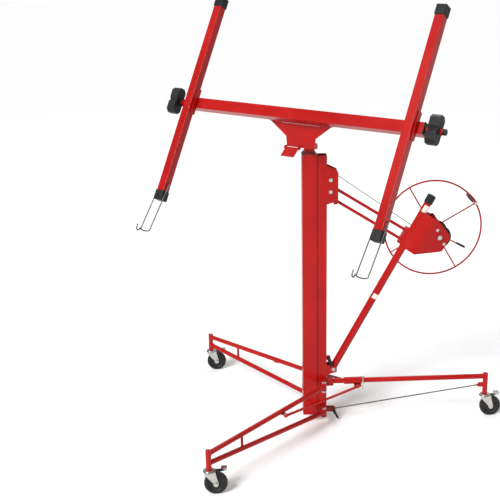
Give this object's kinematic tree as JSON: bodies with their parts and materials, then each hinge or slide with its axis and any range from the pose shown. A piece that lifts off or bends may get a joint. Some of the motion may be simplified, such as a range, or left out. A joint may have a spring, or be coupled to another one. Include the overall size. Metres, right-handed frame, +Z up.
{
  "type": "panel hoist",
  "caption": "Red plasterboard panel hoist: folding three-caster base, telescopic mast, hand-wheel cable winch and a tilting cradle with panel hooks.",
  "frame": {"origin": "floor point under the mast's axis", "axes": "+Z up along the mast, +Y towards the winch and the rear leg, +X towards the side with the brake lever"},
  "size_m": [1.4062, 1.696, 1.9589],
  "materials": {
    "black_paint": "black paint",
    "black_plastic": "moulded black plastic",
    "nylon": "natural nylon",
    "red": "smooth red powder coat",
    "rope": "stranded wire rope",
    "tread": "solid black tread",
    "zinc": "bright zinc plate"
  },
  "bodies": {
    "frame": {"column_tube": "red", "cable_channel": "red", "column_top_guide": "nylon", "base_ears": "red", "frame_bolts": "zinc", "rear_leg": "red", "tie_rod": "zinc", "winch_post": "red", "post_cap": "black_plastic", "pulley_plates": "red", "brace": "red", "brace_clamp": "red", "winch_plate_near": "red", "winch_plate_far": "red", "lift_cable": "rope"},
    "middle": {"middle_section": "red", "middle_guides": "nylon"},
    "inner": {"inner_section": "red", "inner_guides": "nylon"},
    "head": {"head_frame": "red", "tilt_pin": "zinc"},
    "tilt_latch": {"tilt_latch": "red"},
    "cradle": {"crossbar": "red", "arm_brackets": "red", "cradle_arms": "red", "cradle_caps": "black_plastic"},
    "extension_left": {"outrigger_left": "red", "outrigger_pad_left": "black_plastic"},
    "extension_right": {"outrigger_right": "red", "outrigger_pad_right": "black_plastic"},
    "hook_left": {"panel_hook_left": "zinc"},
    "hook_right": {"panel_hook_right": "zinc"},
    "leg_left": {"front_leg_left": "red"},
    "leg_right": {"front_leg_right": "red"},
    "link_left": {"link_bar_left": "red", "link_bolts_left": "zinc"},
    "link_right": {"link_bar_right": "red", "link_bolts_right": "zinc"},
    "collar": {"leg_collar": "red"},
    "collar_screw": {"collar_clamp_screw": "zinc"},
    "tension_lever": {"base_lever": "zinc", "base_lever_grip": "black_plastic"},
    "foot_latch": {"foot_latch": "zinc"},
    "pulley": {"cable_pulley": "zinc"},
    "drum": {"winch_drum": "black_paint", "rope_pack": "rope", "drum_shaft": "zinc", "hand_wheel": "red"},
    "crank_grip": {"crank_grip": "black_plastic"},
    "brake": {"brake_lever": "red", "brake_lever_grip": "black_plastic"},
    "caster_right": {"caster_fork_right": "zinc"},
    "wheel_right": {"caster_wheel_right": "tread"},
    "pedal_right": {"brake_pedal_right": "zinc"},
    "caster_left": {"caster_fork_left": "zinc"},
    "wheel_left": {"caster_wheel_left": "tread"},
    "pedal_left": {"brake_pedal_left": "zinc"},
    "caster_rear": {"caster_fork_rear": "zinc"},
    "wheel_rear": {"caster_wheel_rear": "tread"},
    "pedal_rear": {"brake_pedal_rear": "zinc"}
  },
  "joints": [
    {"name": "middle_lift", "type": "slide", "parent": "frame", "child": "middle", "axis": [0, 0, 1], "range_m": [0, 1]},
    {"name": "inner_lift", "type": "slide", "parent": "middle", "child": "inner", "axis": [0, 0, 1], "range_m": [0, 1]},
    {"name": "head_swivel", "type": "hinge", "parent": "inner", "child": "head", "pos_m": [0, 0, 1.345], "axis": [0, 0, 1], "range_deg": [-120, 45]},
    {"name": "cradle_tilt", "type": "hinge", "parent": "head", "child": "cradle", "pos_m": [0.04818, -0.03902, 1.457], "axis": [0.6293, 0.7771, 0], "range_deg": [-60, 0]},
    {"name": "tilt_latch_press", "type": "hinge", "parent": "head", "child": "tilt_latch", "pos_m": [0.05829, -0.0472, 1.3413], "axis": [0.6293, 0.7771, 0], "range_deg": [0, 25], "stiffness_Nm_per_rad": 0.6, "springref_deg": -14.32},
    {"name": "extension_left_slide", "type": "slide", "parent": "cradle", "child": "extension_left", "axis": [-0.6293, -0.7771, 0], "range_m": [-0.024, 0.276]},
    {"name": "extension_right_slide", "type": "slide", "parent": "cradle", "child": "extension_right", "axis": [0.6293, 0.7771, 0], "range_m": [0, 0.3]},
    {"name": "hook_left_swing", "type": "hinge", "parent": "cradle", "child": "hook_left", "pos_m": [-0.1027, -0.64386, 1.16681], "axis": [0.6293, 0.7771, 0], "range_deg": [-40, 75]},
    {"name": "hook_right_swing", "type": "hinge", "parent": "cradle", "child": "hook_right", "pos_m": [0.60843, 0.23432, 1.16681], "axis": [0.6293, 0.7771, 0], "range_deg": [-40, 75]},
    {"name": "leg_right_fold", "type": "hinge", "parent": "frame", "child": "leg_right", "pos_m": [0.062, 0.062, 0.137], "axis": [0, 0, 1], "range_deg": [0, 115]},
    {"name": "leg_left_fold", "type": "hinge", "parent": "frame", "child": "leg_left", "pos_m": [-0.062, 0.062, 0.137], "axis": [0, 0, 1], "range_deg": [-115, 0]},
    {"name": "link_right_turn", "type": "hinge", "parent": "leg_right", "child": "link_right", "pos_m": [0.29203, -0.13162, 0.1785], "axis": [0, 0, 1], "range_deg": [-137, 0]},
    {"name": "link_left_turn", "type": "hinge", "parent": "leg_left", "child": "link_left", "pos_m": [-0.29203, -0.13162, 0.1785], "axis": [0, 0, 1], "range_deg": [0, 137]},
    {"name": "collar_slide", "type": "slide", "parent": "frame", "child": "collar", "axis": [0, 1, 0], "range_m": [0, 0.5595]},
    {"name": "clamp_screw_turn", "type": "hinge", "parent": "collar", "child": "collar_screw", "pos_m": [0, 0.2495, 0.203], "axis": [1, 0, 0], "range_deg": [0, 80]},
    {"name": "tension_lever_turn", "type": "hinge", "parent": "frame", "child": "tension_lever", "pos_m": [0, 0.112, 0.058], "axis": [1, 0, 0], "range_deg": [0, 75]},
    {"name": "foot_latch_lift", "type": "hinge", "parent": "frame", "child": "foot_latch", "pos_m": [0, 0.09, 0.325], "axis": [1, 0, 0], "range_deg": [0, 70]},
    {"name": "pulley_spin", "type": "hinge", "parent": "frame", "child": "pulley", "pos_m": [0, 0.094, 1.192], "axis": [1, 0, 0], "continuous": true},
    {"name": "drum_spin", "type": "hinge", "parent": "frame", "child": "drum", "pos_m": [0, 0.58231, 0.91865], "axis": [1, 0, 0], "continuous": true},
    {"name": "grip_spin", "type": "hinge", "parent": "drum", "child": "crank_grip", "pos_m": [-0.1, 0.77661, 1.03211], "axis": [1, 0, 0], "continuous": true},
    {"name": "brake_lever_pull", "type": "hinge", "parent": "frame", "child": "brake", "pos_m": [0.044, 0.60288, 0.88719], "axis": [1, 0, 0], "range_deg": [0, 15], "stiffness_Nm_per_rad": 1, "springref_deg": -6.88},
    {"name": "caster_right_swivel", "type": "hinge", "parent": "leg_right", "child": "caster_right", "pos_m": [0.62, -0.475, 0.108], "axis": [0, 0, 1], "continuous": true},
    {"name": "wheel_right_roll", "type": "hinge", "parent": "caster_right", "child": "wheel_right", "pos_m": [0.62, -0.447, 0.05], "axis": [1, 0, 0], "continuous": true},
    {"name": "pedal_right_press", "type": "hinge", "parent": "caster_right", "child": "pedal_right", "pos_m": [0.62, -0.471, 0.092], "axis": [1, 0, 0], "range_deg": [-18, 0]},
    {"name": "caster_left_swivel", "type": "hinge", "parent": "leg_left", "child": "caster_left", "pos_m": [-0.62, -0.475, 0.108], "axis": [0, 0, 1], "continuous": true},
    {"name": "wheel_left_roll", "type": "hinge", "parent": "caster_left", "child": "wheel_left", "pos_m": [-0.62, -0.447, 0.05], "axis": [1, 0, 0], "continuous": true},
    {"name": "pedal_left_press", "type": "hinge", "parent": "caster_left", "child": "pedal_left", "pos_m": [-0.62, -0.471, 0.092], "axis": [1, 0, 0], "range_deg": [-18, 0]},
    {"name": "caster_rear_swivel", "type": "hinge", "parent": "frame", "child": "caster_rear", "pos_m": [0, 0.84, 0.108], "axis": [0, 0, 1], "continuous": true},
    {"name": "wheel_rear_roll", "type": "hinge", "parent": "caster_rear", "child": "wheel_rear", "pos_m": [0, 0.868, 0.05], "axis": [1, 0, 0], "continuous": true},
    {"name": "pedal_rear_press", "type": "hinge", "parent": "caster_rear", "child": "pedal_rear", "pos_m": [0, 0.844, 0.092], "axis": [1, 0, 0], "range_deg": [-18, 0]}
  ],
  "couplings": [
    {"joint": "inner_lift", "follows": "middle_lift", "ratio": 1},
    {"joint": "drum_spin", "follows": "middle_lift", "rad_per_m": 27.548},
    {"joint": "pulley_spin", "follows": "middle_lift", "rad_per_m": -32.258},
    {"joint": "leg_left_fold", "follows": "leg_right_fold", "ratio": -1},
    {"joint": "link_right_turn", "follows": "leg_right_fold", "ratio": -1.1886},
    {"joint": "link_left_turn", "follows": "leg_right_fold", "ratio": 1.1886},
    {"joint": "collar_slide", "follows": "leg_right_fold", "m_per_rad": 0.27853}
  ]
}
